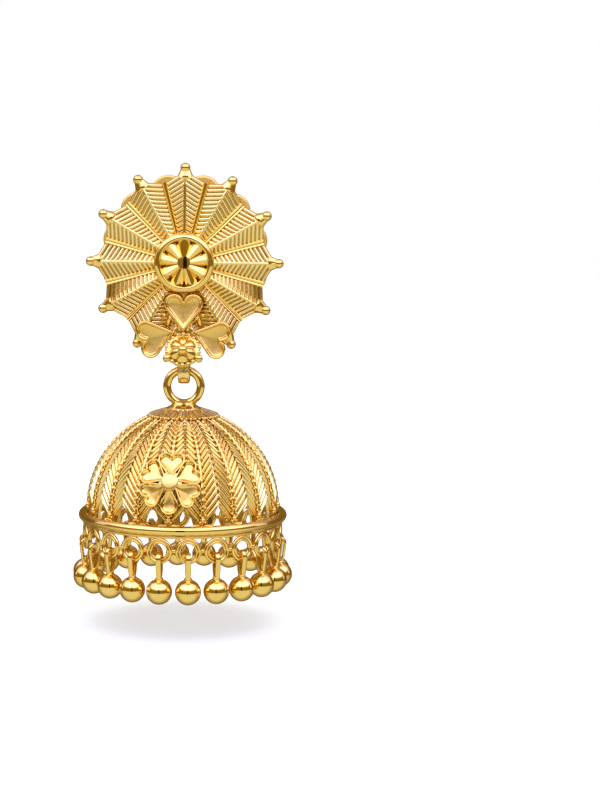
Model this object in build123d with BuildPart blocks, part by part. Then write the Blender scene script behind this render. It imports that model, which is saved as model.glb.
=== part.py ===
from build123d import *
import math
import os

# Jhumka earring: a fluted star stud with a pierced dome hanging from it and a fringe of
# ball drops under the dome's rim. Millimetres, +Z up, the front faces -Y. The origin is where
# the ear post leaves the back of the stud. Depths below are measured towards the front,
# so a depth d lies at Y = -d.

# ---------------------------------------------------------------- driving dimensions
GAP = 0.05                      # between pieces that are set on each other

# Stud
RAYS = 12
RAY_STEP = 360 / RAYS
HALF_STEP = RAY_STEP / 2
NOTCH_RADIUS = 10.8             # where two rays meet at the edge
TIP_RADIUS = 12.2
TIP_HALF_WIDTH = 0.3
TIP_BALL_RADIUS = 0.67
TIP_BALL_CENTRE = 12.6
TIP_BALL_DEPTH = 1.65
PLATE_THICKNESS = 0.9           # scalloped plate behind the star
PLATE_LOBE_CENTRE = 9.0
PLATE_LOBE_RADIUS = 2.3
PLATE_DISC_RADIUS = 10.4
PLATE_RISE = 0.6                # its middle above the star's
PLATE_ROUND = 0.3
STAR_BACK = PLATE_THICKNESS + GAP
HUB_RADIUS = 3.6
HUB_DEPTH = 3.0
RAY_START = 2.88                # the rays start inside the hub
VALLEY_DEPTH_IN = 2.5           # depth of a valley at the hub and at the edge
VALLEY_DEPTH_OUT = 1.6
RIDGE_DEPTH_OUT = 2.45          # depth of a ridge at the edge and at the tip
RIDGE_DEPTH_TIP = 1.95
VALLEY_DEPTH_TIP = 1.5
BAR_TOP = 0.28                  # how far a valley bar stands above its valley
BAR_START_WIDTH = 0.5
BAR_END_WIDTH = 0.72
BAR_OVERHANG = 0.12
BEZEL_OUTER = 4.0
BEZEL_INNER = 3.38
BEZEL_FLOOR_RADIUS = 3.1
BEZEL_DEPTH = 4.2
BEZEL_LIP = 0.2                 # chamfer round its outer edge
BEZEL_ROOT = 1.0                # how far it reaches back into the star
POST_RADIUS = 0.5
POST_LENGTH = 11.0
POST_ROUND = 0.35

# Button inside the bezel
BUTTON_RADIUS = 3.0
BUTTON_PETALS = 9
BUTTON_EDGE = 0.45
BUTTON_ROUND = 0.2
BUTTON_CROWN = 0.95
BUTTON_NOTCH_START = 2.4
BUTTON_NOTCH_WIDTH = 0.7
BUTTON_NOTCH_OVERCUT = 0.3      # the notches' cutter is larger than the button by this
BOSS_RADIUS = 0.9
BOSS_SINK = 0.35                # its middle below the button's crown

# Hearts and rosette at the foot of the stud
HEART_WIDTH = 5.12
HEART_HEIGHT = 5.0
HEART_NOTCH = 0.94
HEART_RIM = 0.42
HEART_THICKNESS = 1.0
HEART_POCKET = 0.62
UPPER_HEART_POINT_Z = -9.1
SIDE_HEART_POINT_X = 1.17
SIDE_HEART_POINT_Z = -9.15
SIDE_HEART_TURN = 107           # from upright, to each side
KNOT_RADIUS = 1.75              # little plate that the points are soldered to
KNOT_Z = -9.7
KNOT_THICKNESS = 0.4
ROSETTE_RADIUS = 2.25
ROSETTE_CENTRE_Z = -11.55
ROSETTE_TILT = 25               # degrees that its face looks down
ROSETTE_STAND = 4.4             # depth of the middle of its back
ROSETTE_EDGE = 0.35
ROSETTE_CROWN = 1.2
ROSETTE_BOSS_RADIUS = 0.7
ROSETTE_BOSS_DROP = 0.3         # below the rosette's centre
ROSETTE_BEADS = 12
ROSETTE_BEAD_RADIUS = 0.28
SIDE_BALL_RADIUS = 0.57
SIDE_BALL_X = 2.12
SIDE_BALL_DROP = 1.15           # below the rosette's centre
STEM_RADIUS = 1.2
STEM_LENGTH = 0.8
STEM_SINK = 0.35                # its middle behind the rosette's back

# Strap loop under the stud, and the ring that hangs in it
STRAP_WIDTH = 1.65
STRAP_THICKNESS = 0.7
STRAP_SIDE_GAP = 0.1
STRAP_TOP_Z = -11.9
STRAP_ROOF = 0.7                # solder that closes the loop at its top
STRAP_BEND_Z = -14.7            # middle of the bend that the ring hangs in
STRAP_FOOT = 0.3                # the bend is this much thicker than the sides
RING_WIRE_RADIUS = 0.56
RING_RADIUS = 2.26              # to the middle of the wire
RING_CENTRE_Z = -16.73
RING_DEPTH = 1.35
FOOT_BOTTOM_RADIUS = 2.3
FOOT_TOP_RADIUS = 1.45

# Dome: every meridian is one arc
DOME_ARC_RADIUS = 13.75
DOME_ARC_X = -0.8
DOME_ARC_Z = -33.3
DOME_BASE_Z = -33.6
DOME_WALL = 0.6
DOME_TOP_HOLE = 2.3
GORES = 18
GORE_STEP = 360 / GORES
GORE_PHASE = -5.3               # azimuth of the wire at the front, from -Y towards +X
WIRE_RADIUS = 0.26
WIRE_SINK = 0.05                # its middle below the dome's face
WIRE_END_ANGLE = 0.3            # it stops this many degrees short of the base and the cap
BASE_BEAD_RADIUS = 0.38
BASE_BEAD_RISE = 0.48
WINDOW_WIDTH = 2.2
WINDOW_HEIGHT = 2.2
WINDOW_SILL = 0.35
WINDOW_ROUND = 0.25
WINDOW_CUT_START = 10.5         # the cut runs from here outwards
WINDOW_CUT = 4.0

# Cap under the ring
CAP_RADIUS = 4.6
CAP_THICKNESS = 0.42
CAP_PLEATS = 24
CAP_BEAD_RADIUS = 0.24
CAP_BEVEL = 0.1
PLEAT_RADIUS = 0.13
FOOT_SINK = 0.15                # the ring's foot starts this far inside the cap

# Flower on the dome's front
FLOWER_DOME_ANGLE = 21.7        # height of its centre along the meridian arc, in degrees
FLOWER_PHASE = -4.5             # azimuth of its centre
FLOWER_LIFT = 0.42              # its back above the dome's face
FLOWER_BOSS_RADIUS = 1.12
FLOWER_BOSS_DEPTH = 1.25
FLOWER_BOSS_DOME = 0.3
FLOWER_BOSS_SINK = 0.1
PETAL_TURN = 60
PETAL_START = 0.45
PETAL_LENGTH = 3.6
PETAL_WIDTH = 3.5
PETAL_NOTCH = 0.5
PETAL_RIM = 0.28
PETAL_THICKNESS = 0.62
PETAL_POCKET = 0.36
PETAL_TILT = 10                 # each petal leans back round the dome
DROP_PETAL_RADIUS = 1.2         # the plain petal at the bottom

# Rim, eyelets and drops
RIM_RADIUS = 13.45
RIM_WIRE_RADIUS = 0.65
RIM_Z = -34.12
BAND_RADIUS = 13.33
BAND_WIRE_RADIUS = 0.28
BAND_Z = -34.88
DROPS = 22
DROP_STEP = 360 / DROPS
DROP_PHASE = 6.3                # azimuth of the first drop
EYELET_CIRCLE = 13.25
EYELET_Z = -36.8
EYELET_OUTER_WIRE = 0.22
EYELET_OUTER_RADIUS = 1.52      # to the middle of the outer wire
EYELET_INNER_WIRE = 0.22
EYELET_INNER_RADIUS = 1.15
GRANULE_RADIUS = 0.32
BALL_RADIUS = 1.7
BALL_Z = -42.2
LINK_WIRE_RADIUS = 0.21
LINK_BEND_RADIUS = 0.68
LINK_FOOT = 0.26                # half the spread of the link's legs at the ball
LINK_SINK = 0.1                 # how far the legs go into the ball
LINK_CLEARANCE = 0.1
COLLAR_RADIUS = 0.5
COLLAR_HEIGHT = 0.3

FRONT = (0, -1, 0)
# The pendant's pieces are modelled round the Z axis, then hung under the ring.
UNDER_RING = Location((0, -RING_DEPTH, 0))
os.makedirs("parts", exist_ok=True)


def save(piece, place=Location()):
    """Write one finished piece under its label, set in its place."""
    export_step(piece.moved(place), f"parts/{piece.label}.step")


def heart_sketch(width, height, notch):
    """Heart with its point at the origin and its lobes upwards."""
    half = width / 2
    # The lobes' circles reach the half width and the height, and cross at the notch.
    lobe_radius = half + notch - math.sqrt(2 * half * notch)
    lobe_x = half - lobe_radius
    lobe_y = height - lobe_radius
    to_centre = math.hypot(lobe_x, lobe_y)
    tangent = math.sqrt(to_centre**2 - lobe_radius**2)
    slope = math.atan2(lobe_x, lobe_y) + math.asin(lobe_radius / to_centre)
    side_x = tangent * math.sin(slope)
    side_y = tangent * math.cos(slope)
    notch_point = (0, height - notch)
    with BuildSketch() as heart:
        with BuildLine():
            Line((0, 0), (side_x, side_y))
            ThreePointArc((side_x, side_y), (lobe_x, height), notch_point)
            ThreePointArc(notch_point, (-lobe_x, height), (-side_x, side_y))
            Line((-side_x, side_y), (0, 0))
        make_face()
    return heart.sketch


def dome_radius(base_radius, height):
    """Radius of the sphere whose cap has this base and height."""
    return (base_radius**2 + height**2) / (2 * height)


def cup(outline, rim, thickness, pocket):
    """Shallow open cup with a raised rim, lying face up on the XY plane."""
    with BuildPart() as shape:
        with BuildSketch():
            add(outline)
        extrude(amount=thickness)
        with BuildSketch(Plane.XY.offset(thickness)):
            add(outline)
            offset(amount=-rim, mode=Mode.REPLACE)
        extrude(amount=-pocket, mode=Mode.SUBTRACT)
    return shape.part


def arc_point(radius, angle):
    """Point of a dome meridian, as distance from the axis and height."""
    x = DOME_ARC_X + radius * math.cos(math.radians(angle))
    z = DOME_ARC_Z + radius * math.sin(math.radians(angle))
    return x, z


def arc_angle_at(radius, x):
    """Angle along a meridian of this radius where it is x from the axis."""
    return math.degrees(math.acos((x - DOME_ARC_X) / radius))


# ---------------------------------------------------------------- back plate and ear post
with BuildPart() as back_plate:
    with BuildSketch(Plane((0, 0, PLATE_RISE), x_dir=(1, 0, 0), z_dir=FRONT)):
        Circle(PLATE_DISC_RADIUS)
        with PolarLocations(PLATE_LOBE_CENTRE, RAYS, start_angle=HALF_STEP):
            Circle(PLATE_LOBE_RADIUS)
    extrude(amount=PLATE_THICKNESS)
    front_edges = back_plate.edges().group_by(Axis.Y)[0]
    fillet(front_edges, radius=PLATE_ROUND)
back_plate.part.label = "back_plate"
save(back_plate.part)

with BuildPart() as ear_post:
    with BuildSketch(Plane.XZ.offset(-GAP)):
        Circle(POST_RADIUS)
    extrude(amount=-POST_LENGTH)
    fillet(ear_post.edges().group_by(Axis.Y)[-1], radius=POST_ROUND)
ear_post.part.label = "ear_post"
save(ear_post.part)

# ---------------------------------------------------------------- fluted star
# Sections of one upright ray: distance from the centre, half width at the valleys,
# depth of the valleys and depth of the ridge.
EDGE_OFFSET = NOTCH_RADIUS * math.cos(math.radians(HALF_STEP))
VALLEY_SLOPE = math.tan(math.radians(HALF_STEP))
RAY_SECTIONS = [
    (RAY_START, RAY_START * VALLEY_SLOPE, VALLEY_DEPTH_IN, HUB_DEPTH),
    (EDGE_OFFSET, EDGE_OFFSET * VALLEY_SLOPE, VALLEY_DEPTH_OUT, RIDGE_DEPTH_OUT),
    (TIP_RADIUS, TIP_HALF_WIDTH, VALLEY_DEPTH_TIP, RIDGE_DEPTH_TIP),
]
# Sections of one valley bar: distance from the centre, width and depth of its top.
BAR_SECTIONS = [
    (HUB_RADIUS, BAR_START_WIDTH, VALLEY_DEPTH_IN + BAR_TOP),
    (NOTCH_RADIUS + BAR_OVERHANG, BAR_END_WIDTH, VALLEY_DEPTH_OUT + BAR_TOP),
]

with BuildPart() as ray:
    for distance, half_width, valley_depth, ridge_depth in RAY_SECTIONS:
        with BuildSketch(Plane.XY.offset(distance)):
            Polygon(
                (-half_width, -STAR_BACK),
                (half_width, -STAR_BACK),
                (half_width, -valley_depth),
                (0, -ridge_depth),
                (-half_width, -valley_depth),
                align=None,
            )
    loft(ruled=True)

with BuildPart() as valley_bar:
    for distance, width, depth in BAR_SECTIONS:
        with BuildSketch(Plane.XY.offset(distance)):
            with Locations((0, -(STAR_BACK + depth) / 2)):
                Rectangle(width, depth - STAR_BACK)
    loft(ruled=True)

strap_inner = RING_WIRE_RADIUS + STRAP_SIDE_GAP
strap_outer = strap_inner + STRAP_THICKNESS

with BuildPart() as stud_star:
    add([ray.part.rotate(Axis.Y, step * RAY_STEP) for step in range(RAYS)])
    with BuildSketch(Plane.XZ.offset(STAR_BACK)):
        Circle(HUB_RADIUS)
    extrude(amount=HUB_DEPTH - STAR_BACK)
    add([valley_bar.part.rotate(Axis.Y, HALF_STEP + step * RAY_STEP) for step in range(RAYS)])
    # Bezel: a collar with a conical inner wall.
    with BuildSketch(Plane.XY):
        with BuildLine():
            Polyline(
                (BEZEL_FLOOR_RADIUS, -HUB_DEPTH),
                (BEZEL_INNER, -BEZEL_DEPTH),
                (BEZEL_OUTER - BEZEL_LIP, -BEZEL_DEPTH),
                (BEZEL_OUTER, -BEZEL_DEPTH + BEZEL_LIP),
                (BEZEL_OUTER, -HUB_DEPTH + BEZEL_ROOT),
                (BEZEL_FLOOR_RADIUS, -HUB_DEPTH + BEZEL_ROOT),
                close=True,
            )
        make_face()
    revolve(axis=Axis.Y)
    # Strap loop: a flat band closed on itself, soldered under the lowest ray.
    with BuildSketch(Plane.YZ.offset(-STRAP_WIDTH / 2)):
        for half_width, top_z, bend_z, mode in (
            (strap_outer, STRAP_TOP_Z, STRAP_BEND_Z - STRAP_FOOT, Mode.ADD),
            (strap_inner, STRAP_TOP_Z - STRAP_ROOF, STRAP_BEND_Z, Mode.SUBTRACT),
        ):
            front = -RING_DEPTH - half_width
            back = -RING_DEPTH + half_width
            with BuildLine():
                Line((front, top_z), (front, bend_z))
                ThreePointArc((front, bend_z), (-RING_DEPTH, bend_z - half_width), (back, bend_z))
                Line((back, bend_z), (back, top_z))
                Line((back, top_z), (front, top_z))
            make_face(mode=mode)
    extrude(amount=STRAP_WIDTH)
    for step in range(RAYS):
        angle = math.radians(step * RAY_STEP)
        across = TIP_BALL_CENTRE * math.sin(angle)
        up = TIP_BALL_CENTRE * math.cos(angle)
        # The lowest ray ends under the hearts and has no ball.
        if step != RAYS // 2:
            with Locations((across, -TIP_BALL_DEPTH, up)):
                Sphere(TIP_BALL_RADIUS)
stud_star.part.label = "stud_star"
save(stud_star.part)

# ---------------------------------------------------------------- button in the bezel
BUTTON_BACK = HUB_DEPTH + GAP
petal_step = 360 / BUTTON_PETALS

with BuildPart() as button_notch:
    with BuildSketch(Plane.XZ.offset(BUTTON_BACK - BUTTON_NOTCH_OVERCUT)):
        Polygon(
            (0, -BUTTON_NOTCH_START),
            (BUTTON_NOTCH_WIDTH / 2, -BUTTON_RADIUS - BUTTON_NOTCH_OVERCUT),
            (-BUTTON_NOTCH_WIDTH / 2, -BUTTON_RADIUS - BUTTON_NOTCH_OVERCUT),
            align=None,
        )
    extrude(amount=BUTTON_CROWN + 2 * BUTTON_NOTCH_OVERCUT)

with BuildPart() as stud_button:
    # Low cone with a rounded edge and a raised middle.
    with BuildSketch(Plane.XY):
        with BuildLine():
            Polyline(
                (0, -BUTTON_BACK),
                (BUTTON_RADIUS, -BUTTON_BACK),
                (BUTTON_RADIUS, -BUTTON_BACK - BUTTON_EDGE + BUTTON_ROUND),
                (BUTTON_RADIUS - BUTTON_ROUND, -BUTTON_BACK - BUTTON_EDGE),
                (0, -BUTTON_BACK - BUTTON_CROWN),
                close=True,
            )
        make_face()
    revolve(axis=Axis.Y)
    notches = [button_notch.part.rotate(Axis.Y, step * petal_step) for step in range(BUTTON_PETALS)]
    add(notches, mode=Mode.SUBTRACT)
    with Locations((0, -BUTTON_BACK - BUTTON_CROWN + BOSS_SINK, 0)):
        Sphere(BOSS_RADIUS)
    split(bisect_by=Plane.XZ.offset(BUTTON_BACK), keep=Keep.TOP)
stud_button.part.label = "stud_button"
save(stud_button.part)

# ---------------------------------------------------------------- trefoil of hearts
HEART_BACK = HUB_DEPTH + GAP
heart_outline = heart_sketch(HEART_WIDTH, HEART_HEIGHT, HEART_NOTCH)
heart_cup = cup(heart_outline, HEART_RIM, HEART_THICKNESS, HEART_POCKET)

with BuildPart() as trefoil_flat:
    # Lying face up: the stud's up is +Y here.
    with Locations((0, UPPER_HEART_POINT_Z)):
        add(heart_cup)
    for side in (-1, 1):
        side_point = (side * SIDE_HEART_POINT_X, SIDE_HEART_POINT_Z)
        with Locations(Location(side_point, -side * SIDE_HEART_TURN)):
            add(heart_cup)
    with BuildSketch():
        with Locations((0, KNOT_Z)):
            Circle(KNOT_RADIUS)
    extrude(amount=KNOT_THICKNESS)

with BuildPart() as heart_trefoil:
    add(Plane.XZ.offset(HEART_BACK).from_local_coords(trefoil_flat.part))
heart_trefoil.part.label = "heart_trefoil"
save(heart_trefoil.part)

# ---------------------------------------------------------------- rosette under the hearts
rosette_tilt = math.radians(ROSETTE_TILT)
rosette_plane = Plane(
    origin=(0, -ROSETTE_STAND, ROSETTE_CENTRE_Z),
    x_dir=(1, 0, 0),
    z_dir=(0, -math.cos(rosette_tilt), -math.sin(rosette_tilt)),
)

with BuildPart() as rosette_dish:
    # Modelled lying down, its face upwards.
    with BuildSketch(Plane.XZ):
        with BuildLine():
            Polyline(
                (0, ROSETTE_CROWN),
                (0, 0),
                (ROSETTE_RADIUS, 0),
                (ROSETTE_RADIUS, ROSETTE_EDGE),
            )
            RadiusArc(
                (ROSETTE_RADIUS, ROSETTE_EDGE),
                (0, ROSETTE_CROWN),
                -dome_radius(ROSETTE_RADIUS, ROSETTE_CROWN - ROSETTE_EDGE),
            )
        make_face()
    revolve(axis=Axis.Z)
    with PolarLocations(ROSETTE_RADIUS, ROSETTE_BEADS):
        Sphere(ROSETTE_BEAD_RADIUS)
    with Locations((0, -ROSETTE_BOSS_DROP, ROSETTE_CROWN - ROSETTE_BOSS_RADIUS / 2)):
        Sphere(ROSETTE_BOSS_RADIUS)
    with Locations(
        (SIDE_BALL_X, -SIDE_BALL_DROP, 0),
        (-SIDE_BALL_X, -SIDE_BALL_DROP, 0),
    ):
        Sphere(SIDE_BALL_RADIUS)
    with Locations((0, 0, -STEM_SINK)):
        Cylinder(radius=STEM_RADIUS, height=STEM_LENGTH)

with BuildPart() as stud_rosette:
    add(rosette_plane.from_local_coords(rosette_dish.part))
stud_rosette.part.label = "stud_rosette"
save(stud_rosette.part)

# ---------------------------------------------------------------- dome
inner_radius = DOME_ARC_RADIUS - DOME_WALL
top_angle = arc_angle_at(DOME_ARC_RADIUS, DOME_TOP_HOLE)
inner_top_angle = arc_angle_at(inner_radius, DOME_TOP_HOLE)
base_x = DOME_ARC_X + DOME_ARC_RADIUS
inner_base_x = DOME_ARC_X + inner_radius
wire_arc_radius = DOME_ARC_RADIUS - WIRE_SINK
wire_top_angle = arc_angle_at(wire_arc_radius, CAP_RADIUS + CAP_BEAD_RADIUS)

with BuildPart() as window:
    # Triangle with its point up, cut straight out through the wall at the front.
    with BuildSketch(Plane.XZ.offset(WINDOW_CUT_START)):
        with BuildLine():
            Polyline(
                (-WINDOW_WIDTH / 2, DOME_BASE_Z + WINDOW_SILL),
                (WINDOW_WIDTH / 2, DOME_BASE_Z + WINDOW_SILL),
                (0, DOME_BASE_Z + WINDOW_SILL + WINDOW_HEIGHT),
                close=True,
            )
        make_face()
        fillet(vertices(), radius=WINDOW_ROUND)
    extrude(amount=WINDOW_CUT)

with BuildPart() as meridian_wire:
    with BuildLine(Plane.XZ):
        CenterArc(
            (DOME_ARC_X, DOME_ARC_Z),
            wire_arc_radius,
            WIRE_END_ANGLE,
            wire_top_angle - 2 * WIRE_END_ANGLE,
        )
    wire_start = arc_point(wire_arc_radius, WIRE_END_ANGLE)
    with BuildSketch(Plane(origin=(wire_start[0], 0, wire_start[1]), z_dir=(0, 0, 1))):
        Circle(WIRE_RADIUS)
    sweep()
    with Locations((base_x, 0, DOME_ARC_Z + BASE_BEAD_RISE)):
        Sphere(BASE_BEAD_RADIUS)

with BuildPart() as dome:
    with BuildSketch(Plane.XZ):
        with BuildLine():
            CenterArc((DOME_ARC_X, DOME_ARC_Z), DOME_ARC_RADIUS, 0, top_angle)
            CenterArc((DOME_ARC_X, DOME_ARC_Z), inner_radius, 0, inner_top_angle)
            Line(arc_point(DOME_ARC_RADIUS, top_angle), arc_point(inner_radius, inner_top_angle))
            Polyline(
                (base_x, DOME_ARC_Z),
                (base_x, DOME_BASE_Z),
                (inner_base_x, DOME_BASE_Z),
                (inner_base_x, DOME_ARC_Z),
            )
        make_face()
    revolve(axis=Axis.Z)
    with PolarLocations(0, GORES, start_angle=GORE_PHASE + GORE_STEP / 2):
        add(window.part, mode=Mode.SUBTRACT)
    with PolarLocations(0, GORES, start_angle=GORE_PHASE - 90):
        add(meridian_wire.part)
dome.part.label = "dome"
save(dome.part, UNDER_RING)

# ---------------------------------------------------------------- cap with its ring
cap_under = DOME_ARC_RADIUS + GAP
cap_over = cap_under + CAP_THICKNESS
under_edge = arc_point(cap_under, arc_angle_at(cap_under, CAP_RADIUS - CAP_BEVEL))
under_mid = arc_point(cap_under, arc_angle_at(cap_under, (CAP_RADIUS + DOME_TOP_HOLE) / 2))
under_neck = arc_point(cap_under, arc_angle_at(cap_under, DOME_TOP_HOLE - GAP))
over_edge = arc_point(cap_over, arc_angle_at(cap_over, CAP_RADIUS))
over_mid = arc_point(cap_over, arc_angle_at(cap_over, (CAP_RADIUS + FOOT_BOTTOM_RADIUS) / 2))
over_neck = arc_point(cap_over, arc_angle_at(cap_over, FOOT_BOTTOM_RADIUS))
pleat_run = over_edge[0] - over_neck[0]
pleat_fall = over_edge[1] - over_neck[1]
ring_foot_z = over_neck[1] - FOOT_SINK
ring_foot_top_z = RING_CENTRE_Z - RING_RADIUS + RING_WIRE_RADIUS / 2

with BuildPart() as pleat:
    # A half-round rib lying on the cap from the neck to the edge, and a bead at its end.
    with BuildSketch(Plane(origin=(over_neck[0], 0, over_neck[1]), z_dir=(pleat_run, 0, pleat_fall))):
        Circle(PLEAT_RADIUS)
    extrude(amount=math.hypot(pleat_run, pleat_fall))
    with Locations((over_edge[0], 0, over_edge[1] - CAP_THICKNESS / 2)):
        Sphere(CAP_BEAD_RADIUS)

with BuildPart() as cap_with_ring:
    with BuildSketch(Plane.XZ):
        with BuildLine():
            ThreePointArc(under_edge, under_mid, under_neck)
            Polyline(under_neck, (0, under_neck[1]), (0, over_neck[1]), over_neck)
            ThreePointArc(over_neck, over_mid, over_edge)
            Line(over_edge, under_edge)
        make_face()
    revolve(axis=Axis.Z)
    with PolarLocations(0, CAP_PLEATS):
        add(pleat.part)
    with Locations((0, 0, (ring_foot_z + ring_foot_top_z) / 2)):
        Cone(FOOT_BOTTOM_RADIUS, FOOT_TOP_RADIUS, ring_foot_top_z - ring_foot_z)
    with Locations(Plane(origin=(0, 0, RING_CENTRE_Z), z_dir=FRONT)):
        Torus(major_radius=RING_RADIUS, minor_radius=RING_WIRE_RADIUS)
cap_with_ring.part.label = "cap_with_ring"
save(cap_with_ring.part, UNDER_RING)

# ---------------------------------------------------------------- flower on the dome
petal_outline = heart_sketch(PETAL_WIDTH, PETAL_LENGTH, PETAL_NOTCH)
heart_petal = cup(petal_outline, PETAL_RIM, PETAL_THICKNESS, PETAL_POCKET)
drop_petal_y = PETAL_LENGTH - DROP_PETAL_RADIUS
drop_petal_angle = math.asin(DROP_PETAL_RADIUS / drop_petal_y)
drop_petal_side_x = DROP_PETAL_RADIUS * math.cos(drop_petal_angle)
drop_petal_side_y = drop_petal_y - DROP_PETAL_RADIUS * math.sin(drop_petal_angle)

with BuildSketch() as drop_petal_outline:
    with BuildLine():
        Line((0, 0), (drop_petal_side_x, drop_petal_side_y))
        ThreePointArc(
            (drop_petal_side_x, drop_petal_side_y),
            (0, PETAL_LENGTH),
            (-drop_petal_side_x, drop_petal_side_y),
        )
        Line((-drop_petal_side_x, drop_petal_side_y), (0, 0))
    make_face()
drop_petal = cup(drop_petal_outline.sketch, PETAL_RIM, PETAL_THICKNESS, PETAL_POCKET)

with BuildPart() as flower_flat:
    # Lying face up, its top petal towards +Y; the lowest petal is the plain one.
    for turn in range(0, 360, PETAL_TURN):
        petal = drop_petal if turn == 180 else heart_petal
        leaning = petal.rotate(Axis.X, -PETAL_TILT).moved(Location((0, PETAL_START, 0)))
        add(leaning.rotate(Axis.Z, turn))
    with BuildSketch(Plane.XZ):
        with BuildLine():
            Polyline(
                (0, FLOWER_BOSS_DEPTH),
                (0, -FLOWER_BOSS_SINK),
                (FLOWER_BOSS_RADIUS, -FLOWER_BOSS_SINK),
                (FLOWER_BOSS_RADIUS, FLOWER_BOSS_DEPTH - FLOWER_BOSS_DOME),
            )
            RadiusArc(
                (FLOWER_BOSS_RADIUS, FLOWER_BOSS_DEPTH - FLOWER_BOSS_DOME),
                (0, FLOWER_BOSS_DEPTH),
                -dome_radius(FLOWER_BOSS_RADIUS, FLOWER_BOSS_DOME),
            )
        make_face()
    revolve(axis=Axis.Z)

flower_x, flower_z = arc_point(DOME_ARC_RADIUS + FLOWER_LIFT, FLOWER_DOME_ANGLE)
flower_rise = math.radians(FLOWER_DOME_ANGLE)
flower_plane = Plane(
    origin=(0, -flower_x, flower_z),
    x_dir=(1, 0, 0),
    z_dir=(0, -math.cos(flower_rise), math.sin(flower_rise)),
)
with BuildPart() as dome_flower:
    add(flower_plane.from_local_coords(flower_flat.part).rotate(Axis.Z, FLOWER_PHASE))
dome_flower.part.label = "dome_flower"
save(dome_flower.part, UNDER_RING)

# ---------------------------------------------------------------- rim with its eyelets
with BuildPart() as rim_gallery:
    with Locations((0, 0, RIM_Z)):
        Torus(major_radius=RIM_RADIUS, minor_radius=RIM_WIRE_RADIUS)
    with Locations((0, 0, BAND_Z)):
        Torus(major_radius=BAND_RADIUS, minor_radius=BAND_WIRE_RADIUS)
    with PolarLocations(0, DROPS, start_angle=DROP_PHASE):
        with Locations(Plane(origin=(0, -EYELET_CIRCLE, EYELET_Z), z_dir=FRONT)):
            Torus(major_radius=EYELET_OUTER_RADIUS, minor_radius=EYELET_OUTER_WIRE)
            Torus(major_radius=EYELET_INNER_RADIUS, minor_radius=EYELET_INNER_WIRE)
    with PolarLocations(EYELET_CIRCLE, DROPS, start_angle=DROP_PHASE + DROP_STEP / 2 - 90):
        with Locations((0, 0, EYELET_Z)):
            Sphere(GRANULE_RADIUS)
rim_gallery.part.label = "rim_gallery"
save(rim_gallery.part, UNDER_RING)

# ---------------------------------------------------------------- drops
eyelet_hole_radius = EYELET_INNER_RADIUS - EYELET_INNER_WIRE
link_top_z = EYELET_Z - eyelet_hole_radius + LINK_CLEARANCE + LINK_WIRE_RADIUS
link_bend_z = link_top_z - LINK_BEND_RADIUS
link_foot_z = BALL_Z + BALL_RADIUS - LINK_SINK
link_drop = link_bend_z - link_foot_z
collar_z = link_foot_z + COLLAR_HEIGHT / 2
# The legs leave the bend as tangents and close in on the ball.
link_span = math.hypot(LINK_FOOT, link_drop)
link_lean = math.asin(LINK_BEND_RADIUS / link_span) - math.atan2(LINK_FOOT, link_drop)
link_side = LINK_BEND_RADIUS * math.cos(link_lean)
link_side_z = link_bend_z - LINK_BEND_RADIUS * math.sin(link_lean)

with BuildPart() as front_drop:
    with BuildLine(Plane.YZ):
        Line((-EYELET_CIRCLE - LINK_FOOT, link_foot_z), (-EYELET_CIRCLE - link_side, link_side_z))
        ThreePointArc(
            (-EYELET_CIRCLE - link_side, link_side_z),
            (-EYELET_CIRCLE, link_top_z),
            (-EYELET_CIRCLE + link_side, link_side_z),
        )
        Line((-EYELET_CIRCLE + link_side, link_side_z), (-EYELET_CIRCLE + LINK_FOOT, link_foot_z))
    link_start = Plane(
        origin=(0, -EYELET_CIRCLE - LINK_FOOT, link_foot_z),
        z_dir=(0, -math.sin(link_lean), math.cos(link_lean)),
    )
    with BuildSketch(link_start):
        Circle(LINK_WIRE_RADIUS)
    sweep()
    with Locations((0, -EYELET_CIRCLE, BALL_Z)):
        Sphere(BALL_RADIUS)
    with Locations((0, -EYELET_CIRCLE, collar_z)):
        Cylinder(COLLAR_RADIUS, COLLAR_HEIGHT)

for number in range(DROPS):
    with BuildPart() as drop:
        add(front_drop.part.rotate(Axis.Z, DROP_PHASE + number * DROP_STEP))
    drop.part.label = f"drop_{number + 1:02d}"
    save(drop.part, UNDER_RING)
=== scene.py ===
import math

import bmesh
import bpy
import numpy as np
from mathutils import Matrix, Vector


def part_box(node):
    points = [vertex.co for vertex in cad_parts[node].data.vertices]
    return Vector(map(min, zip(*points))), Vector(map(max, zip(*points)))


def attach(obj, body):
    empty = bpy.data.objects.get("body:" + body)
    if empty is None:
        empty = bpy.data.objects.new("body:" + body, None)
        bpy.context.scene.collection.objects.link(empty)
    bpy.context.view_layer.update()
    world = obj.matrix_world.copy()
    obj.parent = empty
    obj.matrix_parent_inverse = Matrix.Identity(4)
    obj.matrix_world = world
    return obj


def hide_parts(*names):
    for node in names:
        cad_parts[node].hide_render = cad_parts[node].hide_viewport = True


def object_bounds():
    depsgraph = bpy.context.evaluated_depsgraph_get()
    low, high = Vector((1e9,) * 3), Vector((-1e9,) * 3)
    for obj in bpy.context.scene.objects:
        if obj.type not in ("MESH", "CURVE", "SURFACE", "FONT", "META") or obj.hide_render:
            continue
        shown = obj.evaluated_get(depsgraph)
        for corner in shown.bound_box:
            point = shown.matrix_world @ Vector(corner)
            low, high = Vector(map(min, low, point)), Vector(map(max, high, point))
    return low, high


# Jhumka earring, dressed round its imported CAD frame. The object's lengths are millimetres until
# a mesh is made, and the studio's are metres. Depth is measured towards the front, so a depth d
# lies at Y = -d. A shape is a pair: points and faces.

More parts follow.
